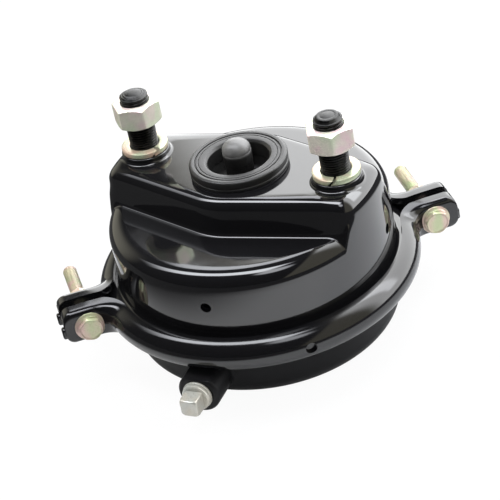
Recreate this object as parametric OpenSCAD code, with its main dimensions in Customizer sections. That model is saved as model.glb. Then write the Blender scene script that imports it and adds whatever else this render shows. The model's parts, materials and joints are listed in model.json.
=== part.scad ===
// Air brake chamber with a clamp ring, two mounting studs and a spring-returned push rod.
// Millimetres. Z is the push rod's axis, X is the line of the two studs.
// The origin is the centre of the pressure housing's flat bottom.

/* [Mounting studs] */
// Distance between the two stud axes
stud_spacing = 120.7; // [119:0.1:122]
// Thread diameter of the studs
stud_d = 16; // [15:0.5:16.5]
// Height of the stud tips above the pads
stud_reach = 36.3; // [34.3:0.5:38.3]
// Width across flats of the stud nuts
nut_af = 24; // [23:0.5:25]
// Height of the stud nuts
nut_h = 13; // [12:0.5:14]
// Stud left showing above each nut
nut_drop = 5.5; // [4.8:0.1:6.5]
// Outside diameter of the spring washers
washer_d = 26.4; // [25:0.1:27.4]
// Thickness of the spring washers
washer_t = 3.5; // [3:0.1:4]

/* [Housings] */
// Distance from a stud's axis out to the drum wall of the mounting housing
drum_margin = 18.65; // [18.2:0.05:19.2]
// Thickness of the housing sheet
sheet = 3.5; // [3:0.1:3.8]
// Height of the ledge that the raised plateau stands on
ledge_z = 82; // [80.5:0.5:83.5]
// Height of the plateau's flat top
top_z = 101.5; // [100.5:0.5:103.5]
// Height of the stud pads above the plateau
pad_h = 3.5; // [3:0.1:4]
// Half width of the plateau at its middle
crest_r = 40; // [39:0.5:41]
// Radius of the plateau's four corners
corner_r = 10; // [9:0.5:11]
// Turn of the corner centres away from the line of the studs
corner_turn = 13.6; // [12.5:0.1:14.5]
// Radius of the plateau's top edge
top_fillet = 5; // [4.6:0.1:5.5]
// Radius of the blend at the plateau's foot
foot_fillet = 2; // [1.5:0.1:2.5]
// Step from the drum wall in to the pressure housing's wall
bowl_step = 2; // [1.5:0.1:3]
// Height of the face seal above the stud pads
seal_stand = 2.5; // [1:0.1:3]
// Radius of the pressure housing's bottom edge
bowl_fillet = 11; // [10:0.5:13]
// Diameter of the vent holes
vent_d = 6; // [5:0.1:7]

/* [Clamp ring] */
// Height of the clamp ring's middle
seam_z = 36.5; // [36:0.1:37.5]
// Step from the drum wall out to the clamp ring's outside
ring_step = 13; // [12.8:0.1:13.5]
// Radius of the clamp ring's round section
bead_r = 9.5; // [9.4:0.1:9.8]
// Wall thickness of the clamp ring
bead_t = 4; // [3.8:0.1:4.1]
// Turn of the split line from the line of the studs
split_turn = 44.1; // [40:0.1:48]
// Half of the gap between the two clamp halves at the ears
split_gap = 3.2; // [2.8:0.1:3.5]
// Distance from the clamp ring's outside out to the clamp bolts
bolt_out = 10.6; // [10.4:0.1:11.2]
// Distance from the clamp ring's outside out to the ears' ends
ear_out = 24.4; // [23.4:0.1:26]

/* [Push rod] */
// Diameter of the push rod's tip
rod_d = 16; // [15.5:0.1:16.2]
// Height of the push rod's tip with the brake released
rod_tip_z = 117.6; // [116:0.1:119]
// Radius of the push plate
plate_r = 50; // [49:0.5:52]
// Thickness of the push plate
plate_t = 4; // [3.5:0.1:4.5]
// Wire diameter of the return spring
wire_d = 4.5; // [4.2:0.1:4.8]

/* [Air ports] */
// Diameter of the port threads' tapping hole
port_d = 10.38; // [10.2:0.01:10.8]
// Diameter of the port bosses
boss_d = 24; // [23:0.5:24.5]
// Distance that the bosses stand out from the pressure housing's wall
boss_reach = 19; // [18:0.5:21]
// Height of the ports
port_z = 17.3; // [17:0.1:18]
// Turn of the front port
front_turn = 275.5; // [272:0.1:279]

/* [Output] */
// Sub-part to draw

/* [Hidden] */
$fn = 96;

eps = 0.01;
fit = 0.05;
slack = 0.3;
black = [0.05, 0.05, 0.055];
rubber = [0.09, 0.09, 0.09];
pale_zinc = [0.80, 0.79, 0.72];
yellow_zinc = [0.82, 0.72, 0.50];
steel = [0.45, 0.45, 0.44];

stud_x = stud_spacing / 2;
drum_r = stud_x + drum_margin;
bowl_r = drum_r - bowl_step;
ring_r = drum_r + ring_step;
bolt_x = ring_r + bolt_out;
ear_x = ring_r + ear_out;
boss_x = bowl_r + boss_reach;
stud_r = stud_d / 2;
pad_z = top_z + pad_h;
pad_r = 13.7;
stud_tip_z = pad_z + stud_reach;
// The first thread turn is a little smaller than the rest.
lead_in_r = stud_r - 0.2;
lead_in_z = stud_tip_z - 4.4;
chamfer_z = stud_tip_z - 1.8;
stud_head_r = 12.6;
stud_head_t = 5;
nut_top_z = stud_tip_z - nut_drop;
washer_r = stud_r + 0.25;

bead_t_in = bead_r - bead_t;
bead_c = ring_r - bead_r;
flange_end_r = bead_t_in - slack;
rubber_half = 1.75;
drum_fillet = 9;
drum_in = drum_r - sheet;
floor_z = sheet;
flange_bend = 2;

corner_reach = drum_r - 0.1 - corner_r;
opening_r = 21.5;
seal_in = 17.2;
seal_out = 27.5;
vent_z = ledge_z - 19;
seal_z = pad_z + seal_stand;

plate_z = floor_z + slack + 3 + slack;
spring_low_z = plate_z + plate_t;
boot_t = 1.2;
boot_r = 18.5;
fold_r = 12.5;
boot_top_z = top_z - sheet;
retainer_t = 2;
// The retainer's opening, its rim inside the plateau, and the ring that centres the spring on it.
retainer_in_r = boot_r + 2.1;
retainer_out_r = crest_r - sheet - 1.5;
boot_rim_r = retainer_out_r - 3;
guide_r = retainer_in_r + 4.7;
guide_t = 2;
guide_h = 4;
retainer_z = boot_top_z - boot_t - retainer_t;
collar_z = spring_low_z + 2;
collar_h = 6;
shank_r = rod_d / 2 - 0.2;
collar_r = shank_r + 4.2;
hub_r = 16;

bolt_r = 4;
bolt_seat = 11;
bolt_flange_r = 8.6;
bolt_head_h = 5;
bolt_tip = 48.6;
// Depth of the flat seat pressed into the ear under each bolt and nut.
seat_depth = 0.4;
ear_face = bolt_seat + seat_depth;
// Reach of the ears above and below the ring's middle.
ear_top = 11;
ear_low = 9.25;
ear_web = 4.5;
ear_corner = 5;
ear_bend = 8;
// The bend's axis, and how far round the ring it starts from the split.
turn_y = ear_bend + ear_face - 0.1;
turn_x = sqrt(pow(ring_r + ear_bend, 2) - pow(turn_y, 2));
turn_lean = asin(turn_y / (ring_r + ear_bend));
// The bend is a little thinner than the ring and runs a little way into its end.
turn_thin = 0.15;
turn_lap = 3;

boss_root = bowl_r - 15;
clamp_clear = 0.5;
plug_flange_r = 8;
plug_af = 10;
washer_seal_t = 1.5;

// Points along an arc about c from angle a to angle b.
function arc(c, r, a, b, n = 8) =
    [for (i = [0:n]) c + r * [cos(a + (b - a) * i / n), sin(a + (b - a) * i / n)]];

// Hexagon nut of height h with chamfered corners and a countersunk bore.
module hex_nut(af, h, bore_r) {
    corner = af / sqrt(3);
    difference() {
        intersection() {
            cylinder(h = h, r = corner, $fn = 6);
            rotate_extrude()
                polygon([[0, 0], [af / 2 - 0.4, 0], [corner + 0.1, (corner - af / 2 + 0.5) * 0.5],
                    [corner + 0.1, h - (corner - af / 2 + 0.5) * 0.5], [af / 2 - 0.4, h], [0, h]]);
        }
        translate([0, 0, -1])
            cylinder(h = h + 2, r = bore_r);
        translate([0, 0, -eps])
            cylinder(h = 0.9, r1 = bore_r + 0.9, r2 = bore_r);
        translate([0, 0, h - 0.9 + eps])
            cylinder(h = 0.9, r1 = bore_r, r2 = bore_r + 0.9);
    }
}

// Filled outline of the mounting housing's drum, inset by d from its outside.
module drum_outline(d) {
    r = drum_r - d;
    f = drum_fillet - d;
    c = drum_r - drum_fillet;
    top = ledge_z - drum_fillet;
    polygon(concat([[0, seam_z + rubber_half], [r, seam_z + rubber_half]],
        arc([c, top], f, 0, 90),
        [[0, ledge_z - d]]));
}

// Filled outline of the pressure housing, inset by d from its outside.
module bowl_outline(d) {
    r = bowl_r - d;
    f = bowl_fillet - d;
    c = [bowl_r - bowl_fillet, bowl_fillet];
    polygon(concat([[0, d]], arc(c, f, -90, 0, 12), [[r, seam_z - rubber_half], [0, seam_z - rubber_half]]));
}

// Rolled flange between the radius a and the clamp's cavity, low to high in Z.
module flange_outline(a, low, high) {
    intersection() {
        translate([a, low])
            square([bead_c + bead_r - a, high - low]);
        union() {
            translate([bead_c, seam_z])
                circle(r = flange_end_r);
            translate([a - 1, seam_z - bead_r])
                square([bead_c - a + 1, 2 * bead_r]);
        }
    }
}

// Tapering slice of the raised plateau, h high from height z, inset by a below and by b above.
module plateau_slice(z, h, a, b) {
    translate([0, 0, z])
        cylinder(h = h, r1 = crest_r - a, r2 = crest_r - b, $fn = 48);
    for (side = [0, 180])
        for (turn = [-1, -0.5, 0, 0.5, 1])
            rotate([0, 0, side + turn * corner_turn])
                translate([corner_reach, 0, z])
                    cylinder(h = h, r1 = corner_r - a, r2 = corner_r - b, $fn = 32);
}

// Plateau body inset by d, with its rounded top edge.
module plateau(d) {
    f = top_fillet - d;
    low = ledge_z - drum_fillet - 2;
    steps = 5;
    hull() {
        plateau_slice(low, top_z - d - f - low, d, d);
        for (i = [0:steps - 1]) {
            a = 90 * i / steps;
            b = 90 * (i + 1) / steps;
            plateau_slice(top_z - d - f + f * sin(a), f * (sin(b) - sin(a)),
                d + f - f * cos(a), d + f - f * cos(b));
        }
    }
}

// Hollow blend at the plateau's foot, as tapering steps that stand on the ledge.
module plateau_foot() {
    steps = 3;
    f = foot_fillet;
    intersection() {
        for (i = [0:steps - 1]) {
            a = 90 * i / steps;
            b = 90 * (i + 1) / steps;
            hull() {
                plateau_slice(ledge_z - 2, 2 + f * (1 - cos(a)), f * (sin(a) - 1), f * (sin(a) - 1));
                plateau_slice(ledge_z + f * (1 - cos(a)), f * (cos(a) - cos(b)),
                    f * (sin(a) - 1), f * (sin(b) - 1));
            }
        }
        translate([0, 0, ledge_z - 3])
            cylinder(h = f + 4, r = drum_r - drum_fillet + 5);
    }
}

// Deep-drawn upper cup with the stepped plateau, stud pads, centre opening and vents.
module mounting_housing() {
    color(black)
    difference() {
        union() {
            rotate_extrude() {
                drum_outline(0);
                flange_outline(drum_r - 1, seam_z + rubber_half, seam_z + rubber_half + sheet);
                difference() {
                    translate([drum_r - 1, seam_z + rubber_half + 1])
                        square([flange_bend + 1, sheet + flange_bend - 1]);
                    translate([drum_r + flange_bend, seam_z + rubber_half + sheet + flange_bend])
                        circle(r = flange_bend);
                }
            }
            plateau(0);
            plateau_foot();
            for (x = [-stud_x, stud_x])
                translate([x, 0, top_z - 1])
                    rotate_extrude()
                        polygon(concat([[0, 0], [pad_r + 1.5, 0], [pad_r + 1.5, 1]],
                            [[pad_r + 0.4, 1.5], [pad_r, 2.4], [pad_r, pad_h + 0.4]],
                            [[pad_r - 0.6, pad_h + 1], [0, pad_h + 1]]));
        }
        translate([0, 0, -eps])
            rotate_extrude()
                drum_outline(sheet);
        plateau(sheet);
        translate([0, 0, top_z - sheet - 1])
            cylinder(h = sheet + 2, r = opening_r);
        for (x = [-stud_x, stud_x])
            translate([x, 0, top_z - sheet - 1])
                cylinder(h = sheet + pad_h + 2, r = stud_r + fit);
        for (turn = [10, 100, 190, 280])
            rotate([0, 0, turn])
                translate([drum_in - 4, 0, vent_z])
                    rotate([0, 90, 0])
                        cylinder(h = sheet + 8, r = vent_d / 2);
    }
}

// Lower cup with its outward flange and a hole behind each port boss.
module pressure_housing() {
    color(black)
    difference() {
        rotate_extrude() {
            difference() {
                bowl_outline(0);
                translate([0, eps])
                    bowl_outline(sheet);
            }
            flange_outline(bowl_r - 1, seam_z - rubber_half - sheet, seam_z - rubber_half);
            difference() {
                translate([bowl_r - 1, seam_z - rubber_half - sheet - flange_bend])
                    square([flange_bend + 1, sheet + flange_bend - 1]);
                translate([bowl_r + flange_bend, seam_z - rubber_half - sheet - flange_bend])
                    circle(r = flange_bend);
            }
        }
        for (turn = [front_turn, front_turn + 180])
            rotate([0, 0, turn])
                translate([boss_root, 0, port_z])
                    rotate([0, 90, 0])
                        cylinder(h = 20, r = port_d / 2 + 1.2);
    }
}

// Section of the clamp ring about its own centre: a round bead open towards the axis, thinned by d.
module bead_section(d = 0) {
    difference() {
        circle(r = bead_r - d);
        circle(r = bead_t_in + d);
        translate([-bead_r - 1, -bead_r - 1])
            square([bead_r + 1, 2 * bead_r + 2]);
    }
}

// Channel ear that stands out along +X with its web outside and its legs towards the split.
module ear() {
    root = turn_x - 4;
    round_x = ear_x - ear_corner;
    round_low = ear_corner - ear_low;
    round_top = ear_top - ear_corner;
    difference() {
        union() {
            translate([0, -split_gap, seam_z])
                rotate([90, 0, 0])
                    linear_extrude(ear_face - split_gap) {
                        translate([root, -ear_low])
                            square([round_x - root, ear_low + ear_top]);
                        translate([root, round_low])
                            square([ear_x - root, round_top - round_low]);
                        for (z = [round_low, round_top])
                            translate([round_x, z])
                                circle(r = ear_corner);
                    }
            translate([ear_x - 1, 2 - ear_face, seam_z - 6])
                cube([3, 4, 7]);
        }
        translate([root - 1, ear_web - ear_face, seam_z - ear_low + ear_web])
            cube([ear_x - root - 3, ear_face, ear_low + ear_top - 2 * ear_web]);
        translate([bolt_x, 0, seam_z])
            rotate([90, 0, 0])
                cylinder(h = bolt_seat + 2, r = bolt_r + 0.6);
    }
}

// Bend where the bead turns out of the ring into the ear, about an upright axis.
module ear_turn() {
    intersection() {
        translate([turn_x, -turn_y, seam_z])
            rotate([0, 0, 90])
                rotate_extrude(angle = 90 - turn_lean + turn_lap)
                    translate([ear_bend + bead_r, 0])
                        mirror([1, 0])
                            bead_section(turn_thin);
        translate([bead_c - 8, -turn_y - 1, 0])
            cube([30, turn_y + 1 - split_gap, seam_z + 2 * bead_r]);
    }
}

// One half of the clamp ring with an ear at each end, drawn on the -Y side of the split.
module clamp_half() {
    rotate([0, 0, 180 + turn_lean])
        translate([0, 0, seam_z])
            rotate_extrude(angle = 180 - 2 * turn_lean)
                translate([bead_c, 0])
                    bead_section();
    for (side = [0, 1])
        mirror([side, 0, 0])
            difference() {
                union() {
                    ear();
                    ear_turn();
                }
                translate([bolt_x, -bolt_seat, seam_z])
                    rotate([90, 0, 0])
                        cylinder(h = ear_bend, r = bolt_flange_r + 0.7);
            }
}

module clamp_half_front() {
    color(black)
    rotate([0, 0, split_turn])
        difference() {
            clamp_half();
            rotate([0, 0, -88.5])
                translate([ring_r - 3, 0, seam_z])
                    rotate([0, 90, 0])
                        cylinder(h = 4, r = 3.2);
        }
}

module clamp_half_rear() {
    color(black)
    rotate([0, 0, split_turn + 180])
        clamp_half();
}

// Flanged hexagon bolt along +Y from its seat, the head towards -Y.
module clamp_bolt(side) {
    af = 12.6;
    corner = af / sqrt(3);
    rotate([0, 0, split_turn])
        translate([side * bolt_x, -bolt_seat, seam_z])
            rotate([-90, 0, 0]) {
                cylinder(h = bolt_seat + bolt_tip - 1, r = bolt_r);
                translate([0, 0, bolt_seat + bolt_tip - 1])
                    cylinder(h = 1, r1 = bolt_r, r2 = bolt_r - 0.9);
                rotate_extrude()
                    polygon([[0, 0], [bolt_flange_r, 0], [bolt_flange_r, -0.8],
                        [af / 2 + 0.4, -2.2], [0, -2.2]]);
                intersection() {
                    translate([0, 0, -bolt_head_h])
                        cylinder(h = bolt_head_h - 1, r = corner, $fn = 6);
                    translate([0, 0, -bolt_head_h])
                        rotate_extrude()
                            polygon([[0, 0.6], [af / 2 - 1.6, 0.4], [af / 2 - 1, 0], [af / 2 + 0.2, 0],
                                [corner + 0.1, 1], [corner + 0.1, bolt_head_h], [0, bolt_head_h]]);
                }
            }
}

module clamp_bolt_left() {
    color(yellow_zinc)
    clamp_bolt(-1);
}

module clamp_bolt_right() {
    color(yellow_zinc)
    clamp_bolt(1);
}

// Flanged nut on a clamp bolt, seated on the rear half's ear.
module clamp_nut(side) {
    rotate([0, 0, split_turn])
        translate([side * bolt_x, bolt_seat, seam_z])
            rotate([-90, 0, 0])
                difference() {
                    union() {
                        translate([0, 0, 1])
                            hex_nut(12.6, 7, bolt_r + fit);
                        rotate_extrude()
                            polygon([[bolt_r + 1, 0], [bolt_flange_r, 0], [bolt_flange_r, 0.8],
                                [6.7, 2.2], [bolt_r + 1, 2.2]]);
                    }
                    translate([0, 0, -1])
                        cylinder(h = 10, r = bolt_r + fit);
                }
}

module clamp_nut_left() {
    color(yellow_zinc)
    clamp_nut(-1);
}

module clamp_nut_right() {
    color(yellow_zinc)
    clamp_nut(1);
}

// Mounting stud with its round head under the plateau's top plate.
module stud(tip_r) {
    rotate_extrude()
        polygon([[0, top_z - sheet - stud_head_t], [stud_head_r - 1, top_z - sheet - stud_head_t],
            [stud_head_r, top_z - sheet - stud_head_t + 1], [stud_head_r, top_z - sheet], [0, top_z - sheet]]);
    translate([0, 0, top_z - sheet - 1])
        cylinder(h = lead_in_z - top_z + sheet + 1, r = stud_r);
    translate([0, 0, lead_in_z - 1])
        cylinder(h = chamfer_z - lead_in_z + 1, r = lead_in_r);
    translate([0, 0, chamfer_z])
        cylinder(h = stud_tip_z - chamfer_z, r1 = lead_in_r, r2 = tip_r);
}

module stud_left() {
    color(black)
    translate([-stud_x, 0, 0])
        stud(stud_r - 2.6);
}

module stud_right() {
    color(black)
    translate([stud_x, 0, 0])
        stud(stud_r - 2);
}

module stud_nut_left() {
    color(pale_zinc)
    translate([-stud_x, 0, nut_top_z - nut_h])
        rotate([0, 0, 48])
            hex_nut(nut_af, nut_h, stud_r + fit);
}

module stud_nut_right() {
    color(pale_zinc)
    translate([stud_x, 0, nut_top_z - nut_h])
        rotate([0, 0, -29])
            hex_nut(nut_af, nut_h, stud_r + fit);
}

// Split spring washer with a slanting cut at the given turn.
module spring_washer(turn) {
    translate([0, 0, pad_z])
        difference() {
            rotate_extrude()
                polygon([[washer_r, 0.4], [washer_r + 0.4, 0], [washer_d / 2 - 0.4, 0], [washer_d / 2, 0.4],
                    [washer_d / 2, washer_t - 0.4], [washer_d / 2 - 0.4, washer_t],
                    [washer_r + 0.4, washer_t], [washer_r, washer_t - 0.4]]);
            rotate([0, 0, turn])
                translate([washer_r - 2, 0, washer_t / 2])
                    rotate([25, 0, 0])
                        translate([0, -0.6, -washer_t])
                            cube([washer_d, 1.2, 2 * washer_t]);
        }
}

module spring_washer_left() {
    color(yellow_zinc)
    translate([-stud_x, 0, 0])
        spring_washer(-30);
}

module spring_washer_right() {
    color(yellow_zinc)
    translate([stud_x, 0, 0])
        spring_washer(-75);
}

// Rubber ring that seals the chamber against its bracket, with a neck in the centre opening.
module face_seal() {
    color(rubber)
    rotate_extrude()
        polygon(concat([[seal_in, top_z - sheet], [opening_r - 0.1, top_z - sheet], [opening_r - 0.1, top_z]],
            [[seal_out - 0.2, top_z], [seal_out, top_z + 0.5], [seal_out, top_z + 1.2],
                [seal_out - 0.9, top_z + 1.7]],
            arc([seal_out - 1.5, seal_z - 1.5], 1.5, -30, 90, 5),
            [[24.3, seal_z], [24.1, seal_z - 0.7], [23.7, seal_z - 0.7], [23.5, seal_z]],
            [[22.2, seal_z], [22, seal_z - 0.4], [21.8, seal_z]],
            arc([seal_in + 1.2, seal_z - 1.2], 1.2, 90, 180, 4)));
}

// Bellows round the push rod, from a flange under the top plate down to the collar.
module boot() {
    folds = 7;
    neck_z = boot_top_z - 7;
    low = collar_z + collar_h;
    pitch = (neck_z - low - boot_t) / folds;
    color(rubber)
    rotate_extrude()
        polygon(concat(
            [[boot_rim_r, boot_top_z], [boot_r, boot_top_z], [boot_r, neck_z]],
            [for (i = [0:folds - 1]) each [[fold_r, neck_z - (i + 0.5) * pitch],
                [boot_r, neck_z - (i + 1) * pitch]]],
            [[shank_r + fit, low + boot_t], [shank_r + fit, low], [boot_r + boot_t, low]],
            [for (i = [folds - 1:-1:0]) each [[fold_r + 1.6 * boot_t, neck_z - (i + 0.5) * pitch],
                [boot_r + 1.3 * boot_t, neck_z - i * pitch]]],
            [[boot_r + boot_t, boot_top_z - boot_t], [boot_rim_r, boot_top_z - boot_t]]));
}

// Steel ring that clamps the boot's flange and seats the spring.
module boot_retainer() {
    color(steel)
    rotate_extrude()
        polygon([[retainer_in_r, retainer_z], [guide_r - guide_t - 0.3, retainer_z],
            [guide_r - guide_t, retainer_z - guide_h], [guide_r - 0.3, retainer_z - guide_h],
            [guide_r, retainer_z],
            [retainer_out_r, retainer_z], [retainer_out_r, retainer_z + retainer_t],
            [retainer_in_r, retainer_z + retainer_t]]);
}

module boot_collar() {
    color(steel)
    translate([0, 0, collar_z])
        difference() {
            cylinder(h = collar_h, r = collar_r);
            translate([0, 0, -1])
                cylinder(h = collar_h + 2, r = shank_r + fit);
        }
}

// Push rod with a domed tip and a stepped foot on the push plate.
module push_rod() {
    r = rod_d / 2;
    pin_top = rod_tip_z - 5.5;
    color(steel)
    rotate_extrude()
        polygon(concat([[0, spring_low_z], [hub_r, spring_low_z], [hub_r, spring_low_z + 1],
            [shank_r + 1, spring_low_z + 2], [shank_r, spring_low_z + 2], [shank_r, pin_top - 8.2],
            [r, pin_top - 8], [r, pin_top]],
            [for (i = [1:6]) [r * cos(15 * i), pin_top + 5.5 * sin(15 * i)]]));
}

// Pressed push plate with a raised rim.
module push_plate() {
    color(steel)
    rotate_extrude()
        polygon(concat([[0, plate_z], [plate_r - 4, plate_z]],
            arc([plate_r - 4, plate_z + 4], 4, -90, 0, 5),
            [[plate_r, plate_z + plate_t + 2], [plate_r - 2, plate_z + plate_t + 2],
                [plate_r - 3, plate_z + plate_t], [0, plate_z + plate_t]]));
}

// Rubber diaphragm: a thick bead between the flanges and a cup along the lower housing.
module diaphragm() {
    low = floor_z + slack;
    t = 3;
    d = sheet + slack;
    f = bowl_fillet - d;
    c = [bowl_r - bowl_fillet, bowl_fillet];
    top = seam_z - rubber_half;
    color(rubber)
    rotate_extrude() {
        polygon(concat([[0, low]], arc(c, f, -90, 0, 8), [[bowl_r - d, top + rubber_half]],
            [[bowl_r - d - t, top + rubber_half]], arc(c, f - t, 0, -90, 8), [[0, low + t]]));
        intersection() {
            translate([bowl_r - d - 1, top])
                square([30, 2 * rubber_half]);
            union() {
                translate([bead_c, seam_z])
                    circle(r = flange_end_r);
                translate([bowl_r - d - t, top])
                    square([bead_c - bowl_r + d + t, 2 * rubber_half]);
            }
        }
    }
}

// Tapering return spring with closed ends, ground flat.
coil_turns = 4.2;
coil_steps = 24;
coil_sides = 8;
coil_low_r = plate_r - 10;
coil_high_r = 30;
// Share of the coil's height at a share u of its length, level over the closed ends.
function coil_rise(u) = let (e = 0.7 / coil_turns) u < e ? 0.02 * u / e
    : u > 1 - e ? 1 - 0.02 * (1 - u) / e : 0.02 + 0.96 * (u - e) / (1 - 2 * e);

module return_spring() {
    low = spring_low_z + wire_d / 2 - 0.4;
    high = retainer_z - wire_d / 2 + 0.4;
    count = floor(coil_turns * coil_steps);
    rings = [for (i = [0:count]) let (u = i / count, a = 360 * i / coil_steps,
        r = coil_low_r + (coil_high_r - coil_low_r) * u, z = low + (high - low) * coil_rise(u))
        each [for (k = [0:coil_sides - 1]) let (b = 360 * (k + 0.5) / coil_sides, q = r + wire_d / 2 * cos(b))
            [q * cos(a), q * sin(a), z + wire_d / 2 * sin(b)]]];
    last = count * coil_sides;
    color(steel)
    intersection() {
        polyhedron(rings, concat(
            [for (i = [0:count - 1], k = [0:coil_sides - 1]) let (a = i * coil_sides + k,
                b = i * coil_sides + (k + 1) % coil_sides) [a, b, b + coil_sides, a + coil_sides]],
            [[for (k = [coil_sides - 1:-1:0]) k]],
            [[for (k = [0:coil_sides - 1]) last + k]]));
        translate([0, 0, spring_low_z])
            cylinder(h = retainer_z - spring_low_z, r = coil_low_r + 2 * wire_d);
    }
}

// Welded boss with a threaded port along +X, its root fitted to the bowl and its top flat under the clamp.
module port_boss() {
    difference() {
        translate([0, 0, port_z])
            rotate([0, 90, 0])
                rotate_extrude()
                    polygon([[port_d / 2, boss_root], [boss_d / 2, boss_root], [boss_d / 2, boss_x - 2],
                        [boss_d / 2 - 2, boss_x], [port_d / 2 + 0.8, boss_x], [port_d / 2, boss_x - 0.8]]);
        rotate_extrude()
            bowl_outline(0);
        translate([boss_root, -boss_d, seam_z - bead_r - clamp_clear])
            cube([boss_x, 2 * boss_d, boss_d]);
    }
}

module port_boss_front() {
    color(black)
    rotate([0, 0, front_turn])
        port_boss();
}

module port_boss_rear() {
    color(black)
    rotate([0, 0, front_turn + 180])
        port_boss();
}

// Plug with a round flange and a square head.
module port_plug() {
    seat = boss_x + washer_seal_t;
    color(pale_zinc)
    rotate([0, 0, front_turn])
        translate([0, 0, port_z])
            rotate([0, 90, 0]) {
                translate([0, 0, seat - 13])
                    cylinder(h = 14, r = port_d / 2 - fit);
                translate([0, 0, seat])
                    cylinder(h = 2.5, r = plug_flange_r);
                intersection() {
                    translate([-plug_af / 2, -plug_af / 2, seat + 1])
                        cube([plug_af, plug_af, 11]);
                    translate([0, 0, seat + 1])
                        rotate_extrude()
                            polygon([[0, 0], [6.9, 0], [6.9, 9.6], [6.2, 10.3], [0, 10.3]]);
                }
            }
}

module plug_washer() {
    color(pale_zinc)
    rotate([0, 0, front_turn])
        translate([boss_x, 0, port_z])
            rotate([0, 90, 0])
                difference() {
                    cylinder(h = washer_seal_t, r = plug_flange_r + 0.4);
                    translate([0, 0, -1])
                        cylinder(h = washer_seal_t + 2, r = port_d / 2 + 0.4);
                }
}

mounting_housing();
pressure_housing();
clamp_half_front();
clamp_half_rear();
clamp_bolt_left();
clamp_bolt_right();
clamp_nut_left();
clamp_nut_right();
stud_left();
stud_right();
stud_nut_left();
stud_nut_right();
spring_washer_left();
spring_washer_right();
face_seal();
boot();
boot_retainer();
boot_collar();
push_rod();
push_plate();
diaphragm();
return_spring();
port_boss_front();
port_boss_rear();
port_plug();
plug_washer();
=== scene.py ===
import json
import math

import bmesh
import bpy
import numpy as np
from mathutils import Matrix, Vector


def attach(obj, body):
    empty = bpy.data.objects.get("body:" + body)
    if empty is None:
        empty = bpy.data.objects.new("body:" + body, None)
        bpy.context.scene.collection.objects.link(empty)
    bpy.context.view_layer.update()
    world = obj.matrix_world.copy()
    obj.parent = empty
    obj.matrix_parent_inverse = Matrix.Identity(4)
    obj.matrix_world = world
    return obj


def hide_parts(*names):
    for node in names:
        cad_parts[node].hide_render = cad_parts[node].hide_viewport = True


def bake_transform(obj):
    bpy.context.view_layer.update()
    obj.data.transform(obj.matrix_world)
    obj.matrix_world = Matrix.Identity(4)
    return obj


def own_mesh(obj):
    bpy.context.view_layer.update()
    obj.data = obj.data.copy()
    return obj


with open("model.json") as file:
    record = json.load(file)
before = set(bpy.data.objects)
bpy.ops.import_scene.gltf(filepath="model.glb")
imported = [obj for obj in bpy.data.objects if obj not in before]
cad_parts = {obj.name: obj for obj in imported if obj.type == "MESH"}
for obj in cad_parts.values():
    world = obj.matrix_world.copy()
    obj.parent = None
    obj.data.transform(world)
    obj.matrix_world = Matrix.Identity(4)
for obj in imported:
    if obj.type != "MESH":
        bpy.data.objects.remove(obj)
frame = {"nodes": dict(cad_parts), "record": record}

# Lengths in the dictionaries are millimetres; the meshes are made in metres.
mm = 0.001
turnFull = 2 * math.pi
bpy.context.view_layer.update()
print("frame loaded,", len(frame["nodes"]), "nodes")


# ---- meshes ----

def quadGrid(rows, cols, wrap=True):
    # quad (r, c) joins row r to row r + 1 and column c to column c + 1
    r = np.arange(rows - 1)[:, None] * cols
    c = np.arange(cols if wrap else cols - 1)[None, :]
    after = (c + 1) % cols
    quads = np.stack([r + c, r + after, r + cols + after, r + cols + c], -1)
    return quads.reshape(-1, 4)


def stackParts(*parts):
    # several (points, quads) pairs as one pair
    points, quads, start = [], [], 0
    for somePoints, someQuads in parts:
        flat = np.asarray(somePoints, float).reshape(-1, 3)
        points.append(flat)
        quads.append(np.asarray(someQuads) + start)
        start += len(flat)
    return np.concatenate(points), np.concatenate(quads)


def closedMesh(name, part, weld):
    # points within the weld distance, in millimetres, merge, which closes seams and poles
    points, quads = part
    mesh = bpy.data.meshes.new(name)
    flat = np.asarray(points, float).reshape(-1, 3) * mm
    mesh.from_pydata(flat.tolist(), [], np.asarray(quads).tolist())
    work = bmesh.new()
    work.from_mesh(mesh)
    bmesh.ops.remove_doubles(work, verts=work.verts, dist=weld * mm)
    bmesh.ops.recalc_face_normals(work, faces=work.faces)
    work.to_mesh(mesh)
    work.free()
    return mesh


def newObject(name, data):
    made = bpy.data.objects.new(name, data)
    bpy.context.scene.collection.objects.link(made)
    return made


weldGap, cutterWeld, sharpFrom = 0.002, 0.001, 32


def addPiece(name, part, body, slotName, stands=(), sharp=sharpFrom):
    # one piece with its slot's material, sharp where faces meet past the angle
    mesh = closedMesh(name, part, weldGap)
    mesh.shade_smooth()
    mesh.set_sharp_from_angle(angle=math.radians(sharp))
    mesh.materials.append(slotMaterials[slotName])
    piece = newObject(name, mesh)
    if body:
        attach(piece, body)
    if stands:
        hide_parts(*stands)
    return piece


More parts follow.
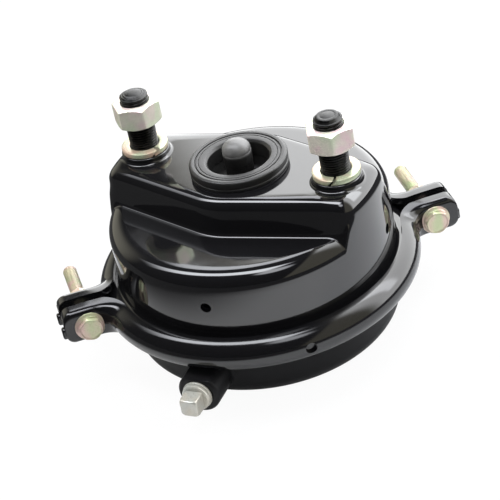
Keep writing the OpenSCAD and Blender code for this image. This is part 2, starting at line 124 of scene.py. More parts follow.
def roundedPath(corners, steps=6):
    # closed outline; corner (x, y, radius) becomes an arc that touches both its sides
    c = np.asarray(corners, float)
    here, before, after = c[:, :2], np.roll(c[:, :2], 1, 0), np.roll(c[:, :2], -1, 0)
    toA, toB = before - here, after - here
    toA /= np.linalg.norm(toA, axis=1)[:, None]
    toB /= np.linalg.norm(toB, axis=1)[:, None]
    half = np.arccos(np.clip((toA * toB).sum(1), -1, 1)) / 2
    radius = np.maximum(c[:, 2], 1e-4)
    mid = toA + toB
    mid /= np.maximum(np.linalg.norm(mid, axis=1), 1e-9)[:, None]
    centre = here + mid * (radius / np.sin(half))[:, None]
    first = here + toA * (radius / np.tan(half))[:, None] - centre
    last = here + toB * (radius / np.tan(half))[:, None] - centre
    sweep = math.pi - 2 * half
    share = np.linspace(0, 1, steps + 1)[None, :, None]
    wide = np.maximum(np.sin(sweep), 1e-6)[:, None, None]
    angle = sweep[:, None, None]
    bow = (np.sin((1 - share) * angle) * first[:, None] + np.sin(share * angle) * last[:, None]) / wide
    return (centre[:, None] + bow).reshape(-1, 2)


def smooth(share):
    # smooth step: three times the square less twice the cube
    return share * share * (3 - 2 * share)


def polar(radius, angle, height):
    # points (radius cos angle, radius sin angle, height)
    return np.stack(np.broadcast_arrays(radius * np.cos(angle), radius * np.sin(angle), height), -1)


def arc(x, y, radius, angles):
    # outline points at the angles on a circle about (x, y)
    return np.stack([x + radius * np.cos(angles), y + radius * np.sin(angles)], 1)


def spread(start, end, count):
    # evenly spaced angles, given in degrees
    return np.radians(np.linspace(start, end, count))


def circle(cols):
    return np.linspace(0, turnFull, cols, endpoint=False)


def finer(outline, steps):
    # each side of an outline cut into equal steps
    o = np.asarray(outline, float)
    sides = [np.linspace(o[i], o[i + 1], steps, endpoint=False) for i in range(len(o) - 1)]
    return np.concatenate(sides + [o[-1:]])


def closeEnds(grid):
    # a row more at each end, drawn in to the middle of the end row
    ends = [row.mean(1, keepdims=True) + 0 * row for row in (grid[:1], grid[-1:])]
    return np.concatenate([ends[0], grid, ends[1]])


def turnedSkin(profile, cols):
    # profile point (r, z) carried round Z: (r cos a, r sin a, z)
    p = np.asarray(profile, float)
    return polar(p[:, :1], circle(cols), p[:, 1:])


def revolve(profile, segments=192, closed=True):
    p = np.asarray(profile, float)
    if closed:
        p = np.concatenate([p, p[:1]])
    return turnedSkin(p, segments), quadGrid(len(p), segments)


def place(part, origin, xAxis, yAxis, zAxis):
    # part's own x, y and z laid along three axes from an origin
    points, quads = part
    axes = np.array([xAxis, yAxis, zAxis], float)
    return np.asarray(points, float).reshape(-1, 3) @ axes + np.array(origin, float), quads


def standing(part, x, z=0):
    # part moved to x and z, its own axes kept
    return place(part, (x, 0, z), *np.eye(3))


def radialFrame(degrees):
    # axes for a part whose own z runs outward in plan and whose own x runs up
    a = math.radians(degrees)
    out = (math.cos(a), math.sin(a), 0)
    side = (-math.sin(a), math.cos(a), 0)
    return (0, 0, 1), side, out


# ---- shader maths ----

class Num:
    # wraps a value socket, so that sums and products of sockets add their own Math nodes
    def __init__(self, nodes, socket):
        self.nodes, self.socket = nodes, socket

    def maths(self, kind, other):
        return self.nodes.node("ShaderNodeMath", {"operation": kind}, {0: self, 1: other})

    def __add__(self, other):
        return self.maths("ADD", other)

    def __mul__(self, other):
        return self.maths("MULTIPLY", other)

    def ramp(self, low, high, outLow=0.0, outHigh=1.0):
        # smooth step from low to high
        return self.nodes.node("ShaderNodeMapRange", {"interpolation_type": "SMOOTHSTEP"},
                               {"Value": self, "From Min": low, "From Max": high,
                                "To Min": outLow, "To Max": outHigh})


class Nodes:
    # one node tree and the node that gives its coordinates
    def __init__(self, tree, coordinate):
        self.tree = tree
        self.coords = self.node("ShaderNodeTexCoord", out=coordinate)

    def node(self, kind, settings=None, inputs=None, out=0):
        made = self.tree.nodes.new(kind)
        for key, value in (settings or {}).items():
            setattr(made, key, value)
        for key, value in (inputs or {}).items():
            if isinstance(value, Num):
                self.tree.links.new(value.socket, made.inputs[key])
            else:
                made.inputs[key].default_value = value
        return None if out is None else Num(self, made.outputs[out])


class Shade(Nodes):
    # one material and its nodes
    def __init__(self, name):
        self.material = bpy.data.materials.new(name)
        self.material.use_nodes = True
        self.material.node_tree.nodes.clear()
        super().__init__(self.material.node_tree, "Object")

    def noise(self, scale, detail=3.0, rough=0.5, stretch=None):
        vector = self.coords
        if stretch:
            vector = self.node("ShaderNodeMapping", inputs={"Vector": vector, "Scale": stretch})
        return self.node("ShaderNodeTexNoise", inputs={"Vector": vector, "Scale": scale,
                                                       "Detail": detail, "Roughness": rough})

    def mixColor(self, factor, a, b):
        return self.node("ShaderNodeMix", {"data_type": "RGBA"}, {0: factor, 6: a, 7: b}, out=2)

    def bump(self, height, strength, distance):
        return self.node("ShaderNodeBump", inputs={"Height": height, "Strength": strength,
                                                   "Distance": distance})

    def output(self, surface):
        self.node("ShaderNodeOutputMaterial", inputs={"Surface": surface}, out=None)
        return self.material

    def finish(self, **inputs):
        named = {key.replace("_", " "): value for key, value in inputs.items()}
        return self.output(self.node("ShaderNodeBsdfPrincipled", inputs=named))


def grey(value):
    return (value, value, value, 1.0)


enamel = {"color": (0.0035, 0.0035, 0.0040, 1), "dust": (0.018, 0.018, 0.019, 1), "speckScale": 900.0,
          "patchScale": 18.0, "dustShare": 0.35, "dustRough": 0.25, "drift": 0.05, "peelScale": 260.0,
          "peelBump": 0.06, "peelDepth": 0.00002}


def makeEnamel(name, roughness, gloss):
    # black paint: fine orange peel bump, roughness that drifts a little, faint dust in patches
    s = Shade(name)
    peel = s.noise(enamel["peelScale"], 2.0, 0.45)
    patch = s.noise(enamel["patchScale"], 4.0, 0.6)
    speck = s.noise(enamel["speckScale"], 2.0, 0.6).ramp(0.62, 0.78)
    dust = speck * patch.ramp(0.45, 0.7) * enamel["dustShare"]
    drift = patch.ramp(0.35, 0.7, roughness, roughness + enamel["drift"])
    return s.finish(Base_Color=s.mixColor(dust, enamel["color"], enamel["dust"]), IOR=gloss,
                    Roughness=drift + dust * enamel["dustRough"],
                    Normal=s.bump(peel, enamel["peelBump"], enamel["peelDepth"]))


zinc = {"cloudScale": 120.0, "driftScale": 75.0, "driftStretch": (1, 1.6, 0.7), "scratchScale": 2200.0,
        "scratchStretch": (1, 1, 5), "metallic": 0.5, "rougher": 0.10, "bump": 0.05, "depth": 0.00001}


def makeZinc(name, base, warm, cool, roughness):
    # passivated zinc: colour drifts between three tints in soft clouds, with fine scratches
    s = Shade(name)
    cloud = s.noise(zinc["cloudScale"], 3.0, 0.55).ramp(0.38, 0.62)
    drift = s.noise(zinc["driftScale"], 2.0, 0.5, zinc["driftStretch"]).ramp(0.42, 0.66)
    tint = s.mixColor(drift, s.mixColor(cloud, base, warm), cool)
    scratch = s.noise(zinc["scratchScale"], 3.0, 0.6, zinc["scratchStretch"])
    return s.finish(Base_Color=tint, Metallic=zinc["metallic"],
                    Roughness=scratch.ramp(0.3, 0.75, roughness, roughness + zinc["rougher"]),
                    Normal=s.bump(scratch, zinc["bump"], zinc["depth"]))


rubber = {"grainScale": 1400.0, "scuffScale": 60.0, "scuffShare": 0.5, "pale": 2.4, "smoother": 0.06,
          "rougher": 0.08, "bump": 0.25, "depth": 0.00003}


def makeRubber(name, color, roughness):
    # rubber: near black, with a fine moulded grain and paler scuffs
    s = Shade(name)
    grain = s.noise(rubber["grainScale"], 3.0, 0.6)
    scuff = s.noise(rubber["scuffScale"], 4.0, 0.65).ramp(0.5, 0.75) * rubber["scuffShare"]
    rough = grain.ramp(0.3, 0.7, roughness - rubber["smoother"], roughness + rubber["rougher"])
    return s.finish(Base_Color=s.mixColor(scuff, grey(color), grey(color * rubber["pale"])),
                    Roughness=rough, Normal=s.bump(grain, rubber["bump"], rubber["depth"]))


steel = {"streakScale": 300.0, "stretch": (1, 1, 0.3), "pale": 1.7, "smoother": 0.05, "rougher": 0.1,
         "bump": 0.2, "depth": 0.00002}


def makeSteel(name, color, roughness):
    # blackened or bare steel: streaks of tone and grain along the piece
    s = Shade(name)
    streak = s.noise(steel["streakScale"], 4.0, 0.6, steel["stretch"])
    rough = streak.ramp(0.3, 0.7, roughness - steel["smoother"], roughness + steel["rougher"])
    tone = s.mixColor(streak.ramp(0.35, 0.7), grey(color), grey(color * steel["pale"]))
    return s.finish(Base_Color=tone, Metallic=1.0, Roughness=rough,
                    Normal=s.bump(streak, steel["bump"], steel["depth"]))


# Heights in metres: below the first the neck is painted near black as shade, and above the second the steel's
# own colour shows.
rodSteelAndShade = {"shadedBelow": 0.1095, "unshaded": 0.1115, "paintedShade": 0.006, "pale": 1.8, "metallic": 0.2, "bump": 0.1}


def makeRodSteel(name, color, roughness):
    # push rod: grey steel dome above a neck painted near black as shade, the change set by the height
    s = Shade(name)
    height = s.node("ShaderNodeSeparateXYZ", inputs={0: s.coords}, out="Z")
    unshaded = height.ramp(rodSteelAndShade["shadedBelow"], rodSteelAndShade["unshaded"])
    streak = s.noise(steel["streakScale"], 4.0, 0.6)
    tone = s.mixColor(streak, grey(color), grey(color * rodSteelAndShade["pale"]))
    # the near-black colour below the shaded height is painted shade
    return s.finish(Base_Color=s.mixColor(unshaded, grey(rodSteelAndShade["paintedShade"]), tone),
                    Metallic=rodSteelAndShade["metallic"],
                    Roughness=streak.ramp(0.3, 0.7, roughness, roughness + steel["rougher"]),
                    Normal=s.bump(streak, rodSteelAndShade["bump"], steel["depth"]))


zincs = {
    "nutZinc": ((0.74, 0.71, 0.62, 1), (0.76, 0.58, 0.61, 1), (0.62, 0.68, 0.52, 1), 0.22),
    "washerZinc": ((0.46, 0.44, 0.33, 1), (0.48, 0.36, 0.28, 1), (0.42, 0.47, 0.33, 1), 0.22),
    "boltZinc": ((0.46, 0.43, 0.30, 1), (0.50, 0.37, 0.33, 1), (0.38, 0.42, 0.26, 1), 0.26),
    "plugZinc": ((0.40, 0.39, 0.35, 1), (0.38, 0.36, 0.31, 1), (0.34, 0.35, 0.33, 1), 0.26),
}
bootRubber = makeRubber("bootRubber", 0.012, 0.6)
slotMaterials = {
    "black_enamel": makeEnamel("housingPaint", 0.05, 1.65),
    "clamp_enamel": makeEnamel("clampPaint", 0.09, 1.54),
    "lower_enamel": makeEnamel("lowerPaint", 0.36, 1.25),
    "nut_zinc": makeZinc("nutZinc", *zincs["nutZinc"]),
    "washer_zinc": makeZinc("washerZinc", *zincs["washerZinc"]),
    "bolt_zinc": makeZinc("boltZinc", *zincs["boltZinc"]),
    "plug_zinc": makeZinc("plugZinc", *zincs["plugZinc"]),
    "seal_rubber": makeRubber("sealRubber", 0.008, 0.38),
    "boot_rubber": bootRubber,
    "diaphragm_rubber": bootRubber,
    "stud_black": makeSteel("studSteel", 0.035, 0.38),
    "rod_steel": makeRodSteel("rodSteelWithPaintedShade", 0.06, 0.34),
    "plate_steel": makeSteel("plateSteel", 0.30, 0.4),
    "spring_steel": makeSteel("springSteel", 0.06, 0.4),
}
print("materials made")

slotOf = {row["node"]: row["material_slot"] for row in frame["record"]["subparts"]}
for nodeName, nodeObject in frame["nodes"].items():
    nodeObject.data.materials.clear()
    nodeObject.data.materials.append(slotMaterials[slotOf[nodeName]])


# ---- mounting housing ----

drum = {"radius": 79.0, "edge": 9.0, "ledge": 82.0, "sheet": 3.5, "flangeLow": 38.25, "bend": 2.0,
        "flangeEnd": 5.2, "beadCentre": 82.5, "seam": 36.5}
# Angles in degrees off the studs' line: the edge grows and the foot flows out within these.
plateau = {"crest": 40.3, "lean": 3.0, "slope": 13.0, "corner": 9.0, "cornerGrow": 2.0, "top": 101.5,
           "edge": 5.6, "edgeGrow": 3.4, "edgeFrom": 20.0, "edgeOver": 10.0, "foot": 1.8, "flow": 10.0,
           "flowFrom": 21.5, "flowOver": 5.5, "opening": 21.5, "padRadius": 13.7, "padTop": 105.0,
           "studX": 60.35}


def planDistance(x, y, z):
    # distance to the plateau's outline: a round middle, straight tangents, round corners and ends;
    # the middle and the tangents lean in with the height, and the ends stand upright
    share = np.clip((z - drum["ledge"]) / (plateau["top"] - drum["ledge"]), -0.5, 1)
    crest, end = plateau["crest"] - plateau["lean"] * share, drum["radius"]
    corner = plateau["corner"] + plateau["cornerGrow"] * share
    reach = end - corner
    slope = math.radians(90 - plateau["slope"])
    turn = slope - np.arccos((crest - corner) / reach)
    normal = np.array([math.cos(slope), math.sin(slope)])
    along = np.array([normal[1], -normal[0]])
    x, y = np.abs(x), np.abs(y)
    radius = np.hypot(x, y)
    travel = (x - crest * normal[0]) * along[0] + (y - crest * normal[1]) * along[1]
    length = np.sqrt(reach ** 2 - (crest - corner) ** 2)
    flat = x * normal[0] + y * normal[1] - crest
    round_ = np.hypot(x - np.cos(turn) * reach, y - np.sin(turn) * reach) - corner
    ends = radius - end
    beyond = np.where(np.arctan2(y, x) < turn, ends, round_)
    return np.where(travel < 0, radius - crest, np.where(travel < length, flat, beyond))


def nearEnds(x, y, start, over):
    # 0 away from the studs' line, rising smoothly to 1 within the given angles of it
    off = np.degrees(np.arctan2(np.abs(y), np.abs(x)))
    return smooth(np.clip((start - off) / over, 0, 1))


def edgeAt(x, y):
    # rounding of the top edge: tight along the front and back, wider round the ends
    return plateau["edge"] + plateau["edgeGrow"] * nearEnds(x, y, plateau["edgeFrom"], plateau["edgeOver"])


def roundedSlab(plan, height, edge):
    # distance to a slab with plan distance and height above its top, its edge rounded
    a, b = plan + edge, height + edge
    return np.hypot(np.maximum(a, 0), np.maximum(b, 0)) + np.minimum(np.maximum(a, b), 0) - edge


def housingDistance(x, y, z, blend):
    # plateau and drum joined by a round fillet of the blend's radius, kept within the drum's wall
    a = roundedSlab(planDistance(x, y, z), z - plateau["top"], edgeAt(x, y))
    b = roundedSlab(np.hypot(x, y) - drum["radius"], z - drum["ledge"], drum["edge"])
    k = np.maximum(blend, 1e-3)
    inside = np.hypot(np.maximum(k - a, 0), np.maximum(k - b, 0))
    joined = np.maximum(k, np.minimum(a, b)) - inside
    return np.maximum(joined, np.hypot(x, y) - drum["radius"])


def bisect(outside, near, far, rounds):
    # the value between near and far where outside turns true
    for _ in range(rounds):
        mid = (near + far) / 2
        out = outside(mid)
        near, far = np.where(out, near, mid), np.where(out, mid, far)
    return near, far


def outlineRadius(plan, height):
    # radius of the plateau's outline at each plan angle and one height
    cosine, sine = np.cos(plan), np.sin(plan)
    low, high = bisect(lambda mid: planDistance(mid * cosine, mid * sine, height) > 0,
                       np.full_like(plan, 20.0), np.full_like(plan, 90.0), 40)
    return (low + high) / 2


# The rays start from a ring (radius, height) inside the wall; keyGap keeps their directions apart.
rays = {"seat": (10.0, 54.5), "near": 5.0, "far": 95.0, "keyGap": 0.012, "rounds": 34}


def housingSkin(plan, inset, counts):
    # points where the distance along each ray equals minus the inset
    wall, crown = outlineRadius(plan, drum["ledge"]), outlineRadius(plan, plateau["top"])
    seatR, seatZ = rays["seat"]
    top, ledge = plateau["top"] - inset, drum["ledge"] - inset
    radius, flatR = drum["radius"] - inset, drum["radius"] - drum["edge"]
    edge, low = drum["edge"] - inset, drum["ledge"] - drum["edge"]
    cosine, sine = np.cos(plan), np.sin(plan)
    # the crease at the foot is tight along the front and flows out wide where the walls run together
    wide = nearEnds(cosine, sine, plateau["flowFrom"], plateau["flowOver"])
    blend = plateau["foot"] + plateau["flow"] * wide

    def drumTop(r):
        return low + np.sqrt(np.maximum(edge ** 2 - np.maximum(r - flatR, 0) ** 2, 0))

    def ray(r, z):
        return np.arctan2(z - seatZ, r - seatR)

    w = wall - inset
    out = np.minimum(w + blend, radius)
    bendZ = drum["flangeLow"] + drum["sheet"] + drum["bend"]
    endZ = bendZ if inset == 0 else drum["flangeLow"]
    rim = edgeAt(cosine, sine)
    keys = [ray(plateau["opening"] + 0 * w, top + 0 * w), ray(crown - rim, top),
            ray(crown - inset, plateau["top"] - rim), ray(w, drumTop(np.minimum(w, radius)) + blend),
            ray(out, drumTop(out)), ray(flatR + 0 * w, ledge + 0 * w), ray(radius + 0 * w, low + 0 * w),
            ray(radius + 0 * w, endZ + 0 * w)]
    for i in range(5, 7):
        keys[i] = np.minimum(keys[i], keys[i - 1] - rays["keyGap"])
    fans = [keys[i] + (keys[i + 1] - keys[i]) * np.linspace(0, 1, n, endpoint=False)[:, None]
            for i, n in enumerate(counts)]
    angle = np.concatenate(fans + [keys[-1][None]])

    def outside(mid):
        r, z = seatR + mid * np.cos(angle), seatZ + mid * np.sin(angle)
        return housingDistance(r * cosine, r * sine, z, blend) > -inset

    near, far = np.full_like(angle, rays["near"]), np.full_like(angle, rays["far"])
    near, _ = bisect(outside, near, far, rays["rounds"])
    return polar(seatR + near * np.cos(angle), plan, seatZ + near * np.sin(angle))


def fullAngles():
    # plan angles all round, closest where the plateau's corners are: (from, to, count) in degrees
    steps = [np.linspace(start, end, count, endpoint=end == 90)
             for start, end, count in ((0, 12, 14), (12, 28, 60), (28, 90, 52))]
    quarter = np.radians(np.concatenate(steps))
    half = np.concatenate([quarter, math.pi - quarter[::-1][1:]])
    return np.concatenate([half, turnFull - half[::-1][1:-1]])


def makeHousing():
    # outer skin, flange turned out under the clamp, inner skin, and back to the opening
    plan = fullAngles()
    outer = housingSkin(plan, 0.0, [8, 10, 8, 12, 16, 14, 10])
    inner = housingSkin(plan, drum["sheet"], [4, 5, 4, 6, 8, 6, 5])
    high, end = drum["flangeLow"] + drum["sheet"], drum["flangeEnd"]
    turned = spread(180, 270, 7)[1:]
    bend = arc(drum["radius"] + drum["bend"], high + drum["bend"], drum["bend"], turned)
    lowest = math.asin((drum["flangeLow"] - drum["seam"]) / end)
    tip = arc(drum["beadCentre"], drum["seam"], end, np.linspace(math.radians(80), lowest, 8))
    profile = np.concatenate([bend, [[drum["beadCentre"] - 0.4, high]], tip])
    flange = polar(profile[:, :1], plan, profile[:, 1:])
    grid = np.concatenate([outer, flange, inner[::-1], outer[:1]])
    return grid, quadGrid(len(grid), len(plan))


pad = {"edge": 0.8, "flare": 1.6, "sink": 2.5, "reach": 0.4, "lift": 0.01}


def padSkin(x):
    # stud pad: round, with a small flare at its foot that follows the plateau's rounded edge
    radius, top, flat = plateau["padRadius"], plateau["padTop"], plateau["top"]
    edge, flare, low = pad["edge"], pad["flare"], plateau["top"] - pad["sink"]
    up = arc(radius - edge, top - edge, edge, spread(90, 0, 7))
    foot = arc(radius + flare, flat + flare, flare, spread(180, 270, 7))
    profile = np.concatenate([[[0, top]], up, foot, [[radius + flare, low], [0, low]]])
    points, quads = revolve(profile, 128, closed=False)
    points = points + np.array([x, 0, 0])
    rim = edgeAt(points[..., 0], points[..., 1])
    share = np.clip((planDistance(points[..., 0], points[..., 1], flat) + rim) / rim, 0, 1)
    drop = rim * (1 - np.sqrt(1 - share ** 2))
    fall = flare + pad["reach"]
    weight = np.clip((flat + fall - points[..., 2]) / fall, 0, 1)
    points[..., 2] -= drop * weight - pad["lift"]
    return points, quads


def cutHoles(piece, holes):
    # straight round holes: (centre, direction, radius, length)
    for centre, direction, radius, length in holes:
        z = np.array(direction, float)
        x = np.cross(z, (0, 0, 1) if abs(z[2]) < 0.9 else (1, 0, 0))
        x /= np.linalg.norm(x)
        profile = [(0, -length / 2), (radius, -length / 2), (radius, length / 2), (0, length / 2)]
        part = place(revolve(profile, 40, closed=False), centre, x, np.cross(z, x), z)
        cutter = newObject("cutter", closedMesh("cutter", part, cutterWeld))
        hole = piece.modifiers.new("hole", "BOOLEAN")
        hole.object, hole.operation, hole.solver = cutter, "DIFFERENCE", "EXACT"
        bpy.context.view_layer.update()
        depsgraph = bpy.context.evaluated_depsgraph_get()
        result = bpy.data.meshes.new_from_object(piece.evaluated_get(depsgraph))
        piece.modifiers.remove(hole)
        piece.data = result
        bpy.data.objects.remove(cutter)
    piece.data.set_sharp_from_angle(angle=math.radians(sharpFrom))


def radialHole(degrees, reach, height, radius, length):
    # a hole that runs outward in plan, its middle at the reach from the axis
    out = radialFrame(degrees)[2]
    return (out[0] * reach, out[1] * reach, height), out, radius, length


vents = {"reach": 77.0, "height": 63.0, "radius": 3.0, "length": 14.0, "turns": (10, 100, 190, 280)}
sides = ((-1, "Left", "left"), (1, "Right", "right"))
housing = addPiece("mountingHousing", makeHousing(), "housing", "black_enamel", ["mounting_housing"])
cutHoles(housing, [radialHole(turn, vents["reach"], vents["height"], vents["radius"], vents["length"])
                   for turn in vents["turns"]])
for side, label, _ in sides:
    addPiece("studPad" + label, padSkin(side * plateau["studX"]), "housing", "black_enamel")
print("housing made")


# ---- clamp ring ----

clamp = {"ring": 92.0, "bead": 9.5, "wall": 4.0, "seam": 36.5, "split": 44.1, "bend": 8.0, "seat": 11.0,
         "face": 11.4, "gap": 3.2, "earEnd": 116.4, "earTop": 11.0, "earLow": 9.25, "earDeep": 5.1, "web": 4.5,
         "earCorner": 5.0, "bolt": 102.6}
drain = {"turn": -88.5, "reach": 91.5, "radius": 3.2, "length": 4.0}


def clampPath():
    # from the middle of the half round the ring, round the bend and out along the ear;
    # gives centre, outward normal, share of the way from round bead to flat ear, distance out on the
    # ear, and the row where the ear starts
    centreR = clamp["ring"] - clamp["bead"]
    outerR, bendR = clamp["ring"] + clamp["bend"], clamp["bend"] + clamp["bead"]
    turnY = clamp["bend"] + clamp["face"] - 0.1
    turnX, lean = math.sqrt(outerR ** 2 - turnY ** 2), math.asin(turnY / outerR)
    a = np.linspace(-math.pi / 2, -lean, 110, endpoint=False)
    b = np.linspace(math.pi - lean, math.pi / 2, 26, endpoint=False)
    ring, bend = arc(0, 0, centreR, a), arc(turnX, -turnY, bendR, b)
    round_ = clamp["earEnd"] - clamp["earCorner"] * (1 - np.sin(spread(0, 90, 16)))
    u = np.concatenate([np.linspace(turnX, clamp["earEnd"] - clamp["earCorner"], 20, endpoint=False), round_])
    ear = np.stack([u, 0 * u + bendR - turnY], 1)
    centre = np.concatenate([ring, bend, ear])
    normal = np.concatenate([arc(0, 0, 1, a), -arc(0, 0, 1, b), np.stack([0 * u, 0 * u - 1], 1)])
    step = np.linalg.norm(np.diff(centre, axis=0, prepend=centre[:1]), axis=1)
    travel = np.cumsum(step)
    start, end = travel[len(ring)] - 3, travel[len(ring) + len(bend)] + 5
    flat = np.clip((travel - start) / (end - start), 0, 1)
    return centre, normal, smooth(flat), centre[:, 0], len(ring) + len(bend)


def superArc(angle, power):
    # quarter-symmetric rounded curve: a circle at power 2, squarer as the power grows
    c, s = np.cos(angle), np.sin(angle)
    return np.sign(c) * np.abs(c) ** (2 / power), np.sign(s) * np.abs(s) ** (2 / power)


def makeClampHalf(degrees):
    # open C section carried along the path, its mirror image carried the other way
    centre, normal, flat, out, earStart = clampPath()
    bead, corner, end = clamp["bead"], clamp["earCorner"], clamp["earEnd"]
    inside = bead - clamp["wall"]
    flat, out = flat[:, None], out[:, None]
    power = 2 + 5 * flat
    outerA, innerA = spread(90, -90, 33)[None], spread(-90, 90, 25)[None]
    outerTall = np.where(outerA > 0, clamp["earTop"], clamp["earLow"])
    innerTall = np.where(innerA > 0, clamp["earTop"], clamp["earLow"]) - clamp["web"]
    beyond = np.clip((out - (end - corner)) / corner, 0, 1)
    beyond = np.where(np.arange(len(out))[:, None] >= earStart, beyond, 0)
    tall = bead + (outerTall - bead) * flat - corner * (1 - np.sqrt(1 - beyond ** 2))
    inDeep = inside + (clamp["earDeep"] - inside) * flat
    inTall = inside + (innerTall - inside) * flat
    # the open edges end at the gap, and the inside closes between 4 and 3 mm from the ear's end
    across = np.where(normal[:, 1] < -0.02, -normal[:, 1], 1.0)
    lip = np.maximum((centre[:, 1] + clamp["gap"]) / across, 0.0)[:, None]
    lip = np.where(out < 60, 0.0, lip)
    closed = np.clip(out - (end - 4.0), 0, 1)
    inDeep = inDeep + (lip - inDeep) * closed
    inTall = inTall * (1 - 0.9 * closed)
    c, s = superArc(outerA, power)
    outerN, outerZ = np.maximum((bead + 0.1 * flat) * c, lip), tall * s
    c, s = superArc(innerA, power)
    n = np.concatenate([outerN, np.maximum(inDeep * c, lip)], 1)[..., None]
    z = np.concatenate([outerZ, inTall * s], 1)[..., None]
    half = np.concatenate([centre[:, None] + normal[:, None] * n, clamp["seam"] + z], -1)
    # the end is closed by two rows that shrink to its middle
    tip, flip = half[-1:], np.array([-1, 1, 1])
    mid = tip.mean(1, keepdims=True)
    shrunk = [mid + (tip - mid) * k + np.array([dx, 0, 0]) for k, dx in ((0.94, 0.35), (0.0, 0.4))]
    half = np.concatenate([half] + shrunk)
    grid = np.concatenate([half[1:][::-1] * flip, half])
    tab = roundedBox((end - 1.5, -9.4, 30.5), (end + 2.0, -5.4, 37.5), 1.2)
    part = stackParts((grid, quadGrid(len(grid), grid.shape[1])), tab, (tab[0] * flip, tab[1]))
    a = math.radians(degrees)
    return place(part, (0, 0, 0), (math.cos(a), math.sin(a), 0), (-math.sin(a), math.cos(a), 0), (0, 0, 1))


def roundedBox(low, high, radius):
    # a cube grid pushed onto a box whose edges are rounded
    count = 7
    share = np.linspace(-1, 1, count)
    u, v = np.meshgrid(share, share, indexing="ij")
    one = np.ones_like(u)
    faces = [(one, u, v), (-one, v, u), (v, one, u), (u, -one, v), (u, v, one), (v, u, -one)]
    low, high = np.array(low, float), np.array(high, float)
    mid, half = (low + high) / 2, (high - low) / 2
    parts = []
    for face in faces:
        p = np.stack(face, -1) * half
        core = np.clip(p, -(half - radius), half - radius)
        away = p - core
        length = np.maximum(np.linalg.norm(away, axis=-1, keepdims=True), 1e-9)
        parts.append((mid + core + away / length * radius, quadGrid(count, count, wrap=False)))
    return stackParts(*parts)


frontHalf = addPiece("clampHalfFront", makeClampHalf(clamp["split"]), "housing", "clamp_enamel",
                     ["clamp_half_front"])
addPiece("clampHalfRear", makeClampHalf(clamp["split"] + 180), "housing", "clamp_enamel", ["clamp_half_rear"])
cutHoles(frontHalf, [radialHole(clamp["split"] + drain["turn"], drain["reach"], clamp["seam"],
                                drain["radius"], drain["length"])])
print("clamp ring made")


# ---- threads, nuts and bolts ----

def threadSkin(radius, pitch, depth, low, high, cols=48, taperTop=0.0):
    # radius falls from crest to root and back over each pitch, and the pitch winds round the axis
    perTurn, runOut, steep = 10, 0.6, 3.4
    rows = max(4, int((high - low) / pitch * perTurn))
    z = np.linspace(low, high, rows)[:, None]
    a = circle(cols)[None]
    phase = (z / pitch - a / turnFull) % 1.0
    tooth = smooth(np.clip(1.5 - np.abs(phase - 0.5) * steep, 0, 1))
    run = np.clip((z - low) / runOut, 0, 1) * np.clip((high - z) / runOut, 0, 1)
    r = radius - depth * (1 - tooth) * run
    if taperTop:
        r = np.minimum(r, radius - np.clip(z - (high - taperTop), 0, None) * 0.8)
    return polar(r, a, z)


def hexHead(outline, steps, across, power, turn, inHex, lift=0.0):
    # turned outline held, where inHex is true, inside a hexagon: the power mean of three pairs of flats
    fine = finer(outline, steps)
    a = circle(144)
    flats = np.arange(3)[:, None] * math.pi / 3 + turn
    flat = across / 2 / (np.abs(np.cos(a - flats)) ** power).sum(0) ** (1 / power)
    radius, height = fine[:, :1], fine[:, 1:]
    r = np.where(inHex(radius, height), np.minimum(radius, flat), radius)
    return polar(r, a, height + lift)


stud = {"radius": 8.0, "pitch": 1.5, "depth": 0.85, "plate": 98.0, "top": 141.3, "x": 60.35, "head": 12.6}


def makeStud(x, domed):
    # threaded shank, then a chamfered point, flat or domed, with turned rings
    t, plate, head = stud["top"], stud["plate"], stud["head"]
    skin = threadSkin(stud["radius"], stud["pitch"], stud["depth"], plate + 3.5, t - 2.1)
    if domed:
        top = [(7.2, -1.9), (6.9, -1.5), (6.5, -1.25), (6.2, -1.3), (5.8, -0.9), (5.2, -0.6),
               (4.9, -0.65), (4.2, -0.35), (3.0, -0.15), (1.5, -0.03), (0.0, 0.0)]
    else:
        top = [(7.1, -1.9), (6.75, -1.4), (6.35, -0.8), (6.2, -0.45), (6.0, -0.2), (5.7, -0.07),
               (4.4, -0.03), (4.2, -0.1), (3.8, -0.1), (3.6, -0.03), (0.0, 0.0)]
    top = [(radius, t + z) for radius, z in top]
    low = [(0, plate - 5), (head - 0.8, plate - 5), (head, plate - 4.2), (head, plate),
           (stud["radius"], plate), (stud["radius"], plate + 3.4)]
    grid = np.concatenate([turnedSkin(low, 48), skin, turnedSkin(top, 48)])
    return standing((grid, quadGrid(len(grid), 48)), x)


nut = {"across": 24.0, "height": 13.0, "bottom": 122.8, "bore": 7.6, "power": 46,
       "turns": {"Left": 48, "Right": -29}}


def makeNut(x, degrees):
    # both ends chamfered at 30 degrees, with a countersink and a flat ring at each end
    h, b, w = nut["height"], nut["bore"], nut["across"] / 2
    corner = w / math.cos(math.pi / 6)
    profile = [(b, 0.9), (b + 0.95, 0.0), (w - 0.75, 0.0), (w - 0.35, 0.12), (corner + 0.1, 1.45),
               (corner + 0.1, h - 1.45), (w - 0.35, h - 0.12), (w - 0.75, h), (b + 0.95, h), (b, h - 0.9)]
    grid = hexHead(profile, 7, nut["across"], nut["power"], math.radians(degrees), lambda r, z: r > 0)
    grid = np.concatenate([grid, grid[:1]])
    return standing((grid, quadGrid(len(grid), grid.shape[1])), x, nut["bottom"])


washer = {"inner": 8.25, "outer": 13.2, "thick": 3.5, "bottom": 105.0, "slit": 11.0, "slant": 0.16,
          "slantShare": 0.06, "square": 6.0, "turns": {"Left": -30, "Right": -75}}


